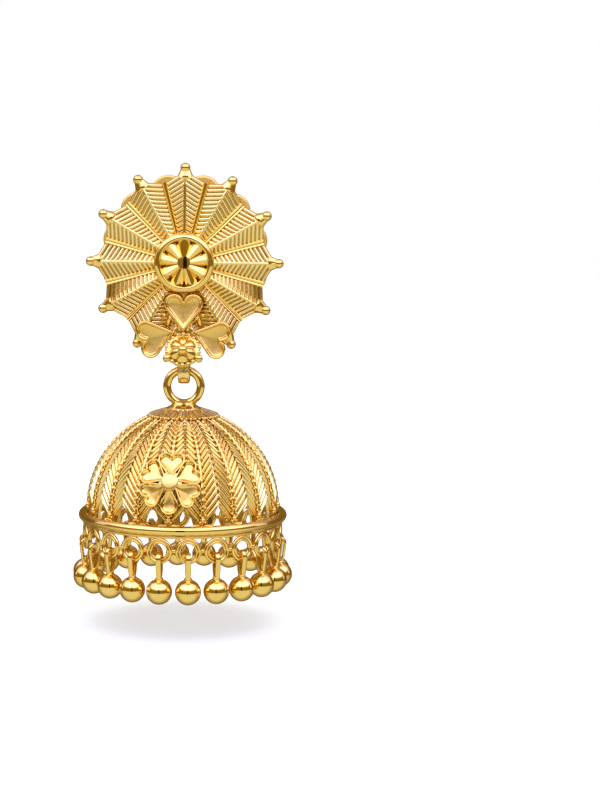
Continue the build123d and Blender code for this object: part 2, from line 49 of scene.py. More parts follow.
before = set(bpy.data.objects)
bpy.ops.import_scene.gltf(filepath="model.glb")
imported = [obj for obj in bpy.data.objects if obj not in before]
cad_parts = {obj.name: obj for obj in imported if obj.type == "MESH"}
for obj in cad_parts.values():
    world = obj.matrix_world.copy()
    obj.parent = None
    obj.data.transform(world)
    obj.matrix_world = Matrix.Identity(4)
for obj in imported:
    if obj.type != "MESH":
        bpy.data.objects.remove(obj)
cad_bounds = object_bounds()
MM = 0.001
CAST, POLISHED, SATIN, MATTE = range(4)     # places in FINISHES


def cad_box(node):
    """Lowest and highest corner of a CAD node, in millimetres."""
    low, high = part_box(node)
    return np.array(low) / MM, np.array(high) / MM


def along(table, value):
    """Value read off a short table of pairs, straight between its rows."""
    return np.interp(value, [row[0] for row in table], [row[1] for row in table])


def relief_value(height, low, high):
    """1 on the crests and 0 on the floors; the lower the value, the more painted shade."""
    return np.clip((height - low) / (high - low), 0, 1)


# ------------------------ shapes
def loft(rings, closed=False, ends=None):
    """Skin over rings of equally many points; closed joins the last ring to the first.

    An open loft is capped by fans round its two end points, the end rings' middles if not given.
    """
    rings = np.asarray(rings, float)
    rows, columns = rings.shape[:2]
    index = np.arange(rows * columns).reshape(rows, columns)
    lower = index if closed else index[:-1]
    upper = np.roll(index, -1, 0) if closed else index[1:]
    quads = np.stack([lower, np.roll(lower, -1, 1), np.roll(upper, -1, 1), upper], -1)
    points = rings.reshape(-1, 3)
    faces = quads.reshape(-1, 4).tolist()
    if closed:
        return points, faces
    if ends is None:
        ends = (rings[0].mean(0), rings[-1].mean(0))
    points = np.vstack([points, ends])
    for centre, ring in ((rows * columns, index[0][::-1]), (rows * columns + 1, index[-1])):
        faces += [[centre, a, b] for a, b in zip(ring.tolist(), np.roll(ring, -1).tolist())]
    return points, faces


def circle(sides):
    """Unit circle as (cosine, sine) pairs."""
    angles = np.linspace(0, 2 * math.pi, sides, endpoint=False)
    return np.stack([np.cos(angles), np.sin(angles)], 1)


def lathe(profile, sides):
    """Solid of revolution round Z from (radius, height) pairs, the first and last on the axis."""
    turn = circle(sides)
    rings = []
    for radius, height in profile[1:-1]:
        rings.append(np.column_stack([radius * turn, np.full(sides, height)]))
    return loft(rings, ends=[(0, 0, profile[0][1]), (0, 0, profile[-1][1])])


def ball(radius, sides):
    """Sphere round the origin, its poles on Z."""
    angles = np.linspace(-math.pi / 2, math.pi / 2, sides // 2 + 1)
    return lathe([(radius * math.cos(a), radius * math.sin(a)) for a in angles], sides)


def unit(vectors):
    return vectors / np.linalg.norm(vectors, axis=-1, keepdims=True)


def sweep(path, section, up, closed=False, sizes=1.0):
    """A (side, up) section carried along a path; sizes scales it, as a whole or each way."""
    path = np.asarray(path, float)
    section = np.asarray(section, float)
    if closed:
        ahead = np.roll(path, -1, 0) - np.roll(path, 1, 0)
    else:
        ahead = np.gradient(path, axis=0)
    ahead = unit(ahead)
    side = unit(np.cross(ahead, up))
    top = np.cross(side, ahead)
    scaled = section[None] * np.broadcast_to(sizes, (len(path), 2))[:, None]
    offsets = scaled[:, :, 0, None] * side[:, None] + scaled[:, :, 1, None] * top[:, None]
    return loft(path[:, None] + offsets, closed)


def ring_wire(ring_radius, wire_radius, sides, wire_sides):
    """Torus round Z."""
    path = np.column_stack([ring_radius * circle(sides), np.zeros(sides)])
    return sweep(path, wire_radius * circle(wire_sides), (0, 0, 1), closed=True)


def rotated(points, axis, degrees):
    """Points turned about an axis through the origin."""
    turn = np.array(Matrix.Rotation(math.radians(degrees), 3, axis))
    return np.asarray(points) @ turn.T


def turned(shape, axis, degrees):
    points, faces = shape
    return rotated(points, axis, degrees), faces


def moved(shape, place):
    points, faces = shape
    return points + np.asarray(place, float), faces


def facing_front(shape):
    """A shape modelled face up on XY, stood up to face -Y with its +Y upwards."""
    points, faces = shape
    return np.column_stack([points[:, 0], -points[:, 2], points[:, 1]]), faces


class Shells:
    """Closed shells in millimetres, gathered into one mesh with a relief value per point, which
    sets its painted shade.

    A shell's finish is one number, or a number for each of its faces.
    """

    def __init__(self):
        self.points = []
        self.relief = []
        self.faces = []
        self.finishes = []
        self.count = 0

    def add(self, shape, finish=POLISHED, relief=1.0):
        points, faces = shape
        self.points.append(points)
        self.relief.append(np.broadcast_to(relief, len(points)))
        self.faces.extend([[i + self.count for i in face] for face in faces])
        self.finishes.extend(np.broadcast_to(finish, len(faces)).tolist())
        self.count += len(points)

    def around(self, shape, count, axis, phase=0.0):
        """The same polished shape repeated evenly about an axis."""
        for number in range(count):
            self.add(turned(shape, axis, phase + number * 360 / count))

    def build(self, name, body, node, sharp=60, move=(0, 0, 0)):
        """Make the mesh object and set it in the frame, in its CAD node's place."""
        points = (np.vstack(self.points) + np.asarray(move, float)) * MM
        mesh = bpy.data.meshes.new(name)
        mesh.from_pydata(points.tolist(), [], self.faces)
        work = bmesh.new()
        work.from_mesh(mesh)
        bmesh.ops.recalc_face_normals(work, faces=work.faces)
        work.to_mesh(mesh)
        work.free()
        relief = mesh.attributes.new("relief", "FLOAT", "POINT")
        relief.data.foreach_set("value", np.concatenate(self.relief).astype(np.float32))
        for material in FINISHES:
            mesh.materials.append(material)
        mesh.polygons.foreach_set("material_index", self.finishes)
        mesh.shade_smooth()
        mesh.set_sharp_from_angle(angle=math.radians(sharp))
        piece = bpy.data.objects.new(name, mesh)
        bpy.context.scene.collection.objects.link(piece)
        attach(piece, body)
        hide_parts(node)


# ------------------------ shader nodes
def add_node(tree, kind, output, inputs=None, **settings):
    """Add a node and return one of its outputs; each input is a value or another's output."""
    added = tree.nodes.new("ShaderNode" + kind)
    for name, value in settings.items():
        setattr(added, name, value)
    for name, value in (inputs or {}).items():
        if isinstance(value, bpy.types.NodeSocket):
            tree.links.new(value, added.inputs[name])
        else:
            added.inputs[name].default_value = value
    return added.outputs[output]


def slope(tree, value, low, high, start=0.0, end=1.0):
    """Straight change from start to end while value goes from low to high."""
    limits = {"From Min": low, "From Max": high, "To Min": start, "To Max": end}
    return add_node(tree, "MapRange", "Result", {"Value": value, **limits})


def mixed(tree, factor, first, second):
    """Colour that goes from the first to the second as factor goes from 0 to 1."""
    inputs = {"Factor": factor, "A": first, "B": second}
    return add_node(tree, "Mix", "Result", inputs, data_type="RGBA")


# ------------------------ materials
RICH_GOLD = (0.87, 0.59, 0.125, 1)
PALE_GOLD = (0.92, 0.68, 0.20, 1)
BRIGHT_GOLD = (0.95, 0.78, 0.34, 1)
# painted shade: the dark colour that grooves, pits and the gaps between ridges are darkened towards
RECESS_SHADE = (0.07, 0.03, 0.003, 1)
CLOUDS_PER_MM = 0.45            # how often the colour wanders
NOISE_RANGE = (0.3, 0.7)        # nearly all values of a noise lie between these


def gold(name, roughness, spread, grain, bump, deep=RICH_GOLD, light=PALE_GOLD, relieved=True):
    """Gold whose colour and polish wander a little, with painted shade where the relief is low.

    Its roughness varies by spread, grain is the size of its smallest marks in millimetres and
    bump their height. A mesh with no relief values takes a gold without the painted shade.
    """
    material = bpy.data.materials.new(name)
    material.use_nodes = True
    tree = material.node_tree
    tree.nodes.clear()
    place = add_node(tree, "TexCoord", "Object")
    clouds = {"Vector": place, "Scale": CLOUDS_PER_MM / MM, "Detail": 3}
    colour = mixed(tree, add_node(tree, "TexNoise", "Fac", clouds), deep, light)
    if relieved:
        # painted shade: where the relief value is low, the colour darkens towards the recess shade
        # colour
        relief = add_node(tree, "Attribute", "Fac", attribute_name="relief")
        colour = mixed(tree, relief, RECESS_SHADE, colour)
    specks = {"Vector": place, "Scale": 1 / (grain * MM), "Detail": 4}
    speck = add_node(tree, "TexNoise", "Fac", specks)
    polish = slope(tree, speck, *NOISE_RANGE, roughness, roughness + spread)
    marks = {"Height": speck, "Strength": 1.0, "Distance": bump * MM}
    surface = {
        "Metallic": 1.0,
        "Base Color": colour,
        "Roughness": polish,
        "Normal": add_node(tree, "Bump", "Normal", marks),
    }
    output = tree.nodes.new("ShaderNodeOutputMaterial")
    tree.links.new(add_node(tree, "BsdfPrincipled", "BSDF", surface), output.inputs["Surface"])
    return material


FINISHES = [
    gold("cast_gold", 0.10, 0.12, grain=0.25, bump=0.008, deep=PALE_GOLD, light=BRIGHT_GOLD),
    gold("polished_gold", 0.04, 0.06, grain=0.9, bump=0.004),
    gold("satin_gold", 0.25, 0.12, grain=0.16, bump=0.010),
    gold("matte_gold", 0.34, 0.14, grain=0.30, bump=0.030),
]
plate_gold = gold("plate_gold", 0.42, 0.14, grain=0.30, bump=0.008, relieved=False)

# ------------------------ fluted star
RAYS = 12
RAY_STEP = 360 / RAYS
TIP_RADIUS = 12.2
RIB_LEAN = 32.3                 # a rib falls back from its ridge, parallel to the star's edge
VALLEY_TAN = math.tan(math.radians(RAY_STEP / 2))
LEAN_TAN = math.tan(math.radians(RIB_LEAN))
STAR_BACK = 0.95                # depth of its flat back
STAR_INNER = 3.9                # its ribs start here
STAR_RIBS = 13
STAR_BORDER = 0.2               # smooth band beside each ridge
STAR_BORDER_STEP = 0.08         # from the band down to a rib
STAR_BORDER_RISE = 0.04
STAR_DARKEST = -0.75            # height at which the grooves would take the full painted shade
# One rib of the star: share of its pitch, height.
STAR_RIB = [
    (0.00, -0.24),
    (0.09, -0.22),
    (0.17, -0.05),
    (0.32, 0.04),
    (0.52, 0.09),
    (0.73, 0.03),
    (0.91, -0.09),
]
# Distance from the star's middle, depth.
RIDGE_DEPTHS = [(2.88, 3.0), (10.43, 2.45), (12.2, 1.95)]
VALLEY_DEPTHS = [(2.88, 2.5), (10.43, 1.6)]


def star_row(ridge_z, height):
    """One zigzag row round the star: ridge points at this distance, valley points nearer in."""
    reach = ridge_z * VALLEY_TAN / (1 + VALLEY_TAN * LEAN_TAN)
    length = math.hypot(reach, reach * LEAN_TAN)
    border = [0, 0.5 * STAR_BORDER, STAR_BORDER, STAR_BORDER + STAR_BORDER_STEP]
    near = np.array(border) / length
    rest = near[-1] + (1 - near[-1]) * np.array([0.25, 0.5, 0.75, 1.0])
    half = np.concatenate([near, rest])
    share = np.concatenate([-half[:0:-1], half[:-1]])
    x = share * reach
    z = ridge_z - np.abs(x) * LEAN_TAN
    ridge = along(RIDGE_DEPTHS, ridge_z)
    valley = along(VALLEY_DEPTHS, ridge_z - reach * LEAN_TAN)
    on_border = np.abs(share) * length < STAR_BORDER + 0.5 * STAR_BORDER_STEP
    lift = np.where(on_border, STAR_BORDER_RISE, height)
    depth = ridge + (valley - ridge) * np.abs(share) + lift
    one_ray = np.column_stack([x, -depth, z])
    rays = [rotated(one_ray, "Y", step * RAY_STEP) for step in range(RAYS)]
    # painted shade: the lower a row lies in a groove, the darker its colour
    tone = relief_value(lift, STAR_DARKEST, 0.0)
    return np.vstack(rays), np.tile(tone, RAYS)


def star_sheet():
    """The ribbed front with its edge and flat back, as one closed shell, and its relief."""
    pitch = (TIP_RADIUS - STAR_INNER) / STAR_RIBS
    rows = []
    tones = []
    for rib in range(STAR_RIBS):
        for share, height in STAR_RIB:
            row, tone = star_row(STAR_INNER + (rib + share) * pitch, height)
            rows.append(row)
            tones.append(tone)
    edge, tone = star_row(TIP_RADIUS, 0.0)
    rows.append(edge)
    tones.append(tone)
    for row in (edge, rows[0]):
        back = row.copy()
        back[:, 1] = -STAR_BACK
        rows.append(back)
        tones.append(np.ones(len(back)))
    return loft(rows, closed=True), np.concatenate(tones)


BAR_START = 3.7
BAR_END = 10.92
BAR_HALF_WIDTHS = (0.33, 0.45)  # at its start and its end
# Half of a valley bar's section: share of its half width, height above the valley.
BAR_SECTION = [(0.0, 0.22), (0.30, 0.24), (0.55, 0.33), (0.80, 0.26), (1.0, 0.08), (1.0, -0.45)]


def valley_bar():
    """Bar with two soft edges and a groove along its middle, standing in a valley."""
    half = np.array(BAR_SECTION)
    section = np.vstack([half, (half * (-1, 1))[:0:-1]])
    rings = []
    for distance in np.linspace(BAR_START, BAR_END, 8):
        across = section[:, 0] * np.interp(distance, (BAR_START, BAR_END), BAR_HALF_WIDTHS)
        valley = along(VALLEY_DEPTHS, distance * math.cos(math.radians(RAY_STEP / 2)))
        depth = valley + section[:, 1]
        rings.append(np.column_stack([across, -depth, np.full(len(section), distance)]))
    return loft(rings)


RAIL_RADIUS = 0.11
RAIL_LIFT = 0.03
RAIL_OVERHANG = 0.1


def ridge_rail():
    """Thin wire along the top of a ray."""
    distance = np.linspace(STAR_INNER, TIP_RADIUS + RAIL_OVERHANG, 10)
    depth = along(RIDGE_DEPTHS, distance) + RAIL_LIFT
    path = np.column_stack([np.zeros(len(distance)), -depth, distance])
    return sweep(path, RAIL_RADIUS * circle(8), (0, -1, 0))


# Radius of the neck behind a tip's ball and distance from the star's middle.
TIP_NECK = [(0, 10.6), (0.7, 10.8), (1.12, 11.3), (0.96, 11.65), (0.8, 12), (0.64, 12.4), (0, 12.6)]
TIP_NECK_FLATNESS = 0.72
TIP_NECK_DEPTH = 1.55
TIP_BALL_RADIUS = 0.66
TIP_BALL_DEPTH = 1.65
TIP_BALL_Z = 12.6


def tip_parts():
    """The neck and the round head at the end of a ray."""
    points, faces = lathe(TIP_NECK, 24)
    neck = (points * (1, TIP_NECK_FLATNESS, 1), faces)
    head = ball(TIP_BALL_RADIUS, 28)
    return [moved(neck, (0, -TIP_NECK_DEPTH, 0)), moved(head, (0, -TIP_BALL_DEPTH, TIP_BALL_Z))]


# Radius and depth round the bezel: a rounded top that falls away outwards, a steep inner wall.
BEZEL = [
    (0, 2.0),
    (3.98, 2.0),
    (4.03, 3.0),
    (4.03, 3.62),
    (3.98, 3.76),
    (3.88, 3.90),
    (3.74, 4.04),
    (3.56, 4.13),
    (3.40, 4.18),
    (3.27, 4.17),
    (3.18, 4.08),
    (3.12, 3.85),
    (3.02, 3.02),
    (0, 3.02),
]

STRAP_BEND_Z = -14.7
STRAP_DEPTH = 1.35              # of the loop's middle
STRAP_MIDDLE = 1.01             # from the loop's centre to the middle of the band
STRAP_FOOT = 1.16               # the same, straight down
STRAP_HALF_WIDTH = 0.82
STRAP_HALF_THICK = 0.345
STRAP_SOFT = 0.30               # radius of the band's edges
STRAP_FOOT_SWELL = 0.42         # the band is this much thicker under the ring
STRAP_TOP_Z = -12.25
STRAP_CORNER = 0.35


def strap_section():
    """Flat band with rounded edges, as (through, across) pairs."""
    section = []
    for through, across, start in ((1, 1, 0), (-1, 1, 90), (-1, -1, 180), (1, -1, 270)):
        x = through * (STRAP_HALF_THICK - STRAP_SOFT)
        y = across * (STRAP_HALF_WIDTH - STRAP_SOFT)
        for angle in np.radians((start, start + 45, start + 90)):
            section.append((x + STRAP_SOFT * math.cos(angle), y + STRAP_SOFT * math.sin(angle)))
    return section


def strap_loop():
    """Closed flat band: it hangs from the star and bends round under the ring."""
    leg_top = STRAP_TOP_Z - STRAP_CORNER
    legs = np.linspace(leg_top, STRAP_BEND_Z, 5)[1:-1]
    # Place along Y from the loop's middle and height, down the front leg and up the back one.
    route = [(-STRAP_MIDDLE, z) for z in legs]
    for angle in np.radians(np.linspace(180, 360, 17)):
        route.append((STRAP_MIDDLE * math.cos(angle), STRAP_BEND_Z + STRAP_FOOT * math.sin(angle)))
    route += [(STRAP_MIDDLE, z) for z in legs[::-1]]
    for side, start in ((1, 0), (-1, 90)):
        for angle in np.radians(np.linspace(start, start + 90, 5)):
            y = side * (STRAP_MIDDLE - STRAP_CORNER) + STRAP_CORNER * math.cos(angle)
            route.append((y, leg_top + STRAP_CORNER * math.sin(angle)))
    path = np.array([(0, y - STRAP_DEPTH, z) for y, z in route])
    under = np.clip((STRAP_BEND_Z - path[:, 2]) / STRAP_FOOT, 0, 1)
    sizes = np.column_stack([1 + STRAP_FOOT_SWELL * under, np.ones(len(path))])
    return sweep(path, strap_section(), (1, 0, 0), closed=True, sizes=sizes)


def build_star():
    star = Shells()
    sheet, tones = star_sheet()
    star.add(sheet, CAST, tones)
    star.around(valley_bar(), RAYS, "Y", RAY_STEP / 2)
    star.around(ridge_rail(), RAYS, "Y")
    for part in tip_parts():
        for step in range(RAYS):
            if step != RAYS // 2:           # the lowest ray carries the strap instead
                star.add(turned(part, "Y", step * RAY_STEP))
    star.add(facing_front(lathe(BEZEL, 96)))
    star.add(strap_loop(), CAST)
    star.build("star", "stud", "stud_star", sharp=50)


# ------------------------ button in the bezel
BUTTON_BACK = 3.06              # depth that it stands on
BUTTON_RADIUS = 3.08
BUTTON_FOLDS = 9
BUTTON_NOTCH = 0.55             # the valleys stop this far short of the bezel's wall
BUTTON_NOTCH_HALF = 0.34        # half a notch's width, as a share of half a fold
BUTTON_MIDDLE = 1.0             # height of the cone's middle
BUTTON_FALL = 0.55              # from there to its edge
BUTTON_FOLD_HEIGHT = 0.52       # of a ridge above a valley at the edge
BUTTON_FOLD_LEVEL = 0.6         # share of a fold's height that lies below the cone
BOSS_RADIUS = 0.86
BOSS_EDGE = 1.06
BOSS_CROWN = 0.06               # its top rises this much to the middle
BOSS_TILT = -5                  # the boss looks up a little


def polar_relief(count, columns, radii, reach, height, base):
    """Round repeating relief lying face up: reach(turn) is its outline, height its top.

    turn runs from -1 to 1 across one repeat and share from 0 to 1 along a radius.
    """
    turn = np.linspace(-1, 1, columns, endpoint=False)
    turns = np.tile(turn, count)
    angles = np.concatenate([(turn / 2 + number) * 2 * math.pi / count for number in range(count)])
    rings = []
    for share in radii:
        radius = share * reach(turns)
        across = radius * np.sin(angles)
        up = radius * np.cos(angles)
        rings.append(np.column_stack([across, up, height(turns, share)]))
    foot = rings[-1].copy()
    foot[:, 2] = base
    underside = foot * (0.3, 0.3, 1)
    return loft([underside, foot] + rings[::-1])


def button_reach(turn):
    """Folds reach the bezel's wall; the valleys between them stop short."""
    notch = np.clip(1 - np.abs(turn) / BUTTON_NOTCH_HALF, 0, 1)
    return BUTTON_RADIUS - BUTTON_NOTCH * notch


def button_height(turn, share):
    """Cone of folds with flat sides: valleys at turn 0 and ridges at turn 1."""
    cone = BUTTON_BACK + BUTTON_MIDDLE - BUTTON_FALL * share
    return cone + BUTTON_FOLD_HEIGHT * share * (np.abs(turn) - BUTTON_FOLD_LEVEL)


def button_boss():
    """Short drum with a slightly domed top."""
    profile = [(0, 0.5), (BOSS_RADIUS - 0.02, 0.5), (BOSS_RADIUS + 0.01, BOSS_EDGE - 0.04)]
    for share in (1, 0.96, 0.9, 0.8, 0.66, 0.5, 0.33, 0.16, 0):
        profile.append((BOSS_RADIUS * share, BOSS_EDGE + BOSS_CROWN * (1 - share**2)))
    return lathe(profile, 48)


def build_button():
    button = Shells()
    radii = np.linspace(0.12, 1, 9)
    folds = polar_relief(BUTTON_FOLDS, 12, radii, button_reach, button_height, BUTTON_BACK)
    button.add(facing_front(turned(folds, "Z", 180)))
    boss = moved(turned(button_boss(), "X", BOSS_TILT), (0, 0, BUTTON_BACK))
    button.add(facing_front(boss))
    button.build("button", "stud", "stud_button", sharp=28)


# ------------------------ cups: hearts and petals
POINT_MARGIN = 0.3              # a shallow cup's fill counts from this far below its point
FLOOR_MIDDLE = 0.95             # place of a floor's lowest point, as a share of the lobes' height


def cup_outline(lobe_x, lobe_y, lobe_radius, inset):
    """Closed outline with its point at the origin and one or two round lobes above."""
    to_centre = math.hypot(lobe_x, lobe_y)
    slant = math.atan2(lobe_x, lobe_y) + math.asin(lobe_radius / to_centre)
    radius = lobe_radius - inset
    lobe = np.array([lobe_x, lobe_y])
    tip = np.array([0, inset / math.sin(slant)])
    touch = lobe + radius * np.array([math.cos(slant), -math.sin(slant)])
    side = tip + (touch - tip) * np.linspace(0, 1, 7)[:-1, None]
    to_notch = math.atan2(math.sqrt(lobe_radius**2 - lobe_x**2), -lobe_x)
    turns = np.linspace(-slant, to_notch, 19)
    parts = [side, lobe + radius * np.column_stack([np.cos(turns), np.sin(turns)])]
    if lobe_x > 0:
        notch = np.array([0, lobe_y + lobe_radius * math.sin(to_notch)])
        turns = np.linspace(to_notch + math.pi, 1.5 * math.pi, 5)[1:]
        reach = max(inset, 0.01)            # with no inset the notch's points would coincide
        parts.append(notch + reach * np.column_stack([np.cos(turns), np.sin(turns)]))
    right = np.vstack(parts)
    right[-1, 0] = 0
    left = (right * (-1, 1))[-2:0:-1]
    return np.vstack([right, left])


def heart_lobes(width, height, notch):
    """Lobe centre and radius of a heart of this size, whose notch is this deep."""
    half = width / 2
    radius = half + notch - math.sqrt(2 * half * notch)
    return half - radius, height - radius, radius


def cup(lobes, rim, thickness, wall, pocket, sink, floor, shallow=0.0):
    """Cup with a rounded rim and an inner wall that leans in by wall, and its faces' finishes.

    It is pocket deep at the wall's foot and sinks further to its middle. The share called
    shallow is filled in again towards its point. Its floor has a finish of its own.
    """
    # Inset and height of each ring, up the outside, over the rim and down the inner wall.
    sides = [
        (0.06, 0.0),
        (0.0, 0.08),
        (0.0, thickness - 0.45 * rim),
        (0.10 * rim, thickness - 0.20 * rim),
        (0.30 * rim, thickness - 0.03 * rim),
        (0.52 * rim, thickness),
        (0.78 * rim, thickness - 0.08 * rim),
        (rim, thickness - 0.30 * rim),
        (rim + 0.30 * wall, thickness - 0.55 * pocket),
        (rim + 0.65 * wall, thickness - 0.86 * pocket),
        (rim + wall, thickness - pocket),
    ]
    rings = []
    for inset, height in sides:
        outline = cup_outline(*lobes, inset)
        near_point = shallow * (1 - np.clip((outline[:, 1] + POINT_MARGIN) / lobes[1], 0, 1))
        lift = near_point * max(thickness - 0.3 * rim - height, 0) if inset > rim else 0
        rings.append(np.column_stack([outline, height + np.broadcast_to(lift, len(outline))]))
    edge = rings[-1]
    middle = np.array([0, lobes[1] * FLOOR_MIDDLE, thickness - pocket - sink])
    for share in (0.93, 0.82, 0.68, 0.52, 0.34, 0.15):
        rings.append(middle + (edge - middle) * (share, share, share**2))
    points, faces = loft(rings)
    floor_start = len(edge) * (len(sides) - 1)
    finishes = [floor if min(face) >= floor_start else POLISHED for face in faces]
    return (points, faces), finishes


HEART = heart_lobes(5.12, 5.0, 0.94)
HEART_CUP = {"rim": 0.32, "thickness": 1.0, "wall": 0.22, "pocket": 0.34, "sink": 0.26}
HEART_BACK = 3.05               # depth that the hearts stand on
# Across and up to each heart's point, and its turn.
HEARTS = [(0, -9.1, 0), (1.17, -9.15, 107), (-1.17, -9.15, -107)]
GRANULE_LIFT = 0.35
# Across, up and radius of the granules between the hearts.
GRANULES = [
    (0.0, -9.35, 0.24),
    (0.5, -8.9, 0.22),
    (1.0, -8.3, 0.22),
    (1.75, -7.35, 0.3),
    (2.55, -6.95, 0.26),
]
KNOT_Z = -9.7
KNOT = [(0, 0), (1.6, 0), (1.6, 0.1), (1.4, 0.22), (0, 0.22)]


def build_hearts():
    """Three cups point to point, on a small knot and with granules between them."""
    hearts = Shells()
    heart, finishes = cup(HEART, floor=MATTE, **HEART_CUP)
    for across, up, turn in HEARTS:
        placed = moved(turned(heart, "Z", -turn), (across, up, HEART_BACK))
        hearts.add(facing_front(placed), finishes)
    for across, up, radius in GRANULES:
        sides = (-1, 1) if across > 0 else (1,)
        for side in sides:
            place = (side * across, up, HEART_BACK + GRANULE_LIFT)
            hearts.add(facing_front(moved(ball(radius, 16), place)))
    knot = moved(lathe(KNOT, 32), (0, KNOT_Z, HEART_BACK))
    hearts.add(facing_front(knot), CAST)
    hearts.build("hearts", "stud", "heart_trefoil")


# ------------------------ rosette
ROSETTE_CENTRE_Z = -11.55
ROSETTE_STAND = 4.4             # depth of its middle
ROSETTE_TILT = 25               # its face looks down by this much
ROSETTE_PETALS = 6
ROSETTE_EDGE = 2.0
ROSETTE_CREASE = 0.24           # the edge is this much nearer in between two petals
ROSETTE_BASE = 0.18             # heights: of the edge, the cone on it and the petals on that
ROSETTE_CONE = 0.62
ROSETTE_PETAL = 0.38
ROSETTE_LIP = 0.94              # share of the radius from which a petal falls no further
ROSETTE_DISC = [(0, -0.1), (2.3, -0.1), (2.34, 0.1), (2.1, 0.34), (0, 0.4)]
ROSETTE_STEM = [(0, -0.75), (1.2, -0.75), (1.2, 0.05), (0, 0.05)]
ROSETTE_BEADS = 18
ROSETTE_BEAD_RADIUS = 0.29
ROSETTE_BEAD_CIRCLE = 2.16
ROSETTE_BEAD_RISE = 0.18
ROSETTE_BOSS_RADIUS = 0.66
ROSETTE_BOSS_PLACE = (0, -0.3, 0.98)
SIDE_BALL_RADIUS = 0.56
SIDE_BALL_PLACE = (2.12, -1.15, 0)


def rosette_reach(turn):
    return ROSETTE_EDGE - ROSETTE_CREASE * np.abs(turn) ** 3


def rosette_height(turn, share):
    """Round petals on a low cone, with deep creases between them."""
    cone = ROSETTE_BASE + ROSETTE_CONE * (1 - share**1.6)
    along_petal = math.sin(math.pi * min(share, ROSETTE_LIP))
    across_petal = np.sqrt(np.clip(1 - np.abs(turn) ** 2.4, 0, 1))
    return cone + ROSETTE_PETAL * across_petal * along_petal


def rosette_beads():
    """Ring of beads round the petals."""
    bead = ball(ROSETTE_BEAD_RADIUS, 14)
    beads = []
    for angle in np.radians(np.arange(ROSETTE_BEADS) * 360 / ROSETTE_BEADS):
        across = ROSETTE_BEAD_CIRCLE * math.sin(angle)
        up = ROSETTE_BEAD_CIRCLE * math.cos(angle)
        beads.append(moved(bead, (across, up, ROSETTE_BEAD_RISE)))
    return beads


def build_rosette():
    rosette = Shells()
    radii = [0.1, 0.2, 0.3, 0.4, 0.5, 0.6, 0.7, 0.8, 0.87, 0.92, 0.96, 1.0]
    petals = polar_relief(ROSETTE_PETALS, 16, radii, rosette_reach, rosette_height, 0.0)
    boss = moved(ball(ROSETTE_BOSS_RADIUS, 28), ROSETTE_BOSS_PLACE)
    parts = [petals, boss] + rosette_beads() + [lathe(ROSETTE_DISC, 48)]
    for side in (-1, 1):
        place = np.array(SIDE_BALL_PLACE) * (side, 1, 1)
        parts.append(moved(ball(SIDE_BALL_RADIUS, 28), place))
    parts.append(lathe(ROSETTE_STEM, 24))
    for part in parts:
        leaning = turned(facing_front(part), "X", -ROSETTE_TILT)
        rosette.add(moved(leaning, (0, -ROSETTE_STAND, ROSETTE_CENTRE_Z)))
    rosette.build("rosette", "stud", "stud_rosette")


# ------------------------ dome
# The pendant's parts are made round Z and moved under the ring.
DOME_LOW, DOME_HIGH = cad_box("dome")
UNDER_RING = (0, (DOME_LOW[1] + DOME_HIGH[1]) / 2, 0)
ARC_RADIUS = 13.75              # the dome's meridian is an arc of this radius round this place
ARC_X = -0.8
ARC_Z = -33.3
GORES = 18
GORE_STEP = 360 / GORES
GORE_PHASE = -5.3               # azimuth of a wire; azimuths count from the front
SKIN_RADIUS = 13.62             # arc radius of the ribbed skin
SKIN_FOOT = -0.6                # its lowest point, along the arc
DOME_SKIN = 0.4                 # thickness of the skin
FOLD_RISE = 0.13                # the skin rises to the middle of each gore
FOLD_FALL = 0.30                # and falls to its edges
WINDOW_TOP = 1.95               # height of a window's top, along the arc
WINDOW_HEIGHT = 2.1
WINDOW_HALF = 1.0
WINDOW_FRAME = 0.28             # from a window's top to the first rib
WINDOW_EDGE = -0.1              # height of its edge over the skin
RIB_DROP = 1.19                 # fall of a rib for each unit across
RIB_PITCH = 0.95                # of the lowest rib, and how much closer each next one is
RIB_CLOSING = 0.012
DOME_RIBS = 19
FAINT_RIBS = 3                  # the ribs by the cap are faint
FAINT_SHARE = 0.3               # of a full rib's height
# One rib of the dome, from its lower side up: share of its pitch, height.
DOME_RIB = [
    (0.00, -0.32),
    (0.07, -0.20),
    (0.16, -0.04),
    (0.27, -0.01),
    (0.37, -0.09),
    (0.43, -0.10),
    (0.53, 0.05),
    (0.66, 0.13),
    (0.79, 0.10),
    (0.91, -0.08),
]
PIT_END = 0.3                   # a pit under each apex, up to this share of the pitch
PIT_HEIGHT = -0.75
MITRE_DROP = 0.04               # above the pit the apex lies this much lower than its rib
DOME_RELIEF = (-0.90, -0.02)    # heights that take the full painted shade and none
# Distances of a row's points from the middle of the gore and from its edge.
MIDDLE_POINTS = (0, 0.15, 0.22, 0.34)
EDGE_POINTS = (0.34, 0.24, 0.0)


def dome_place(arc_radius, arc_length, azimuth):
    """Point on a dome of this arc radius, by the distance up the outer meridian."""
    angle = arc_length / ARC_RADIUS
    radius = ARC_X + arc_radius * np.cos(angle)
    height = ARC_Z + arc_radius * np.sin(angle)
    turn = np.radians(azimuth)
    return np.stack([radius * np.sin(turn), -radius * np.cos(turn), height], -1)


def half_gore_width(arc_length):
    """Distance from a gore's middle to its edge, at this height up the meridian."""
    return (ARC_X + ARC_RADIUS * np.cos(arc_length / ARC_RADIUS)) * math.radians(GORE_STEP / 2)


def dome_columns(apex):
    """Shares of the half gore, close together at its middle and at its edge."""
    width = float(half_gore_width(apex))
    near = np.array(MIDDLE_POINTS) / width
    far = 1 - np.array(EDGE_POINTS) / width
    between = near[-1] + (far[0] - near[-1]) * np.array([0.25, 0.5, 0.75])
    return np.concatenate([near, between, far])


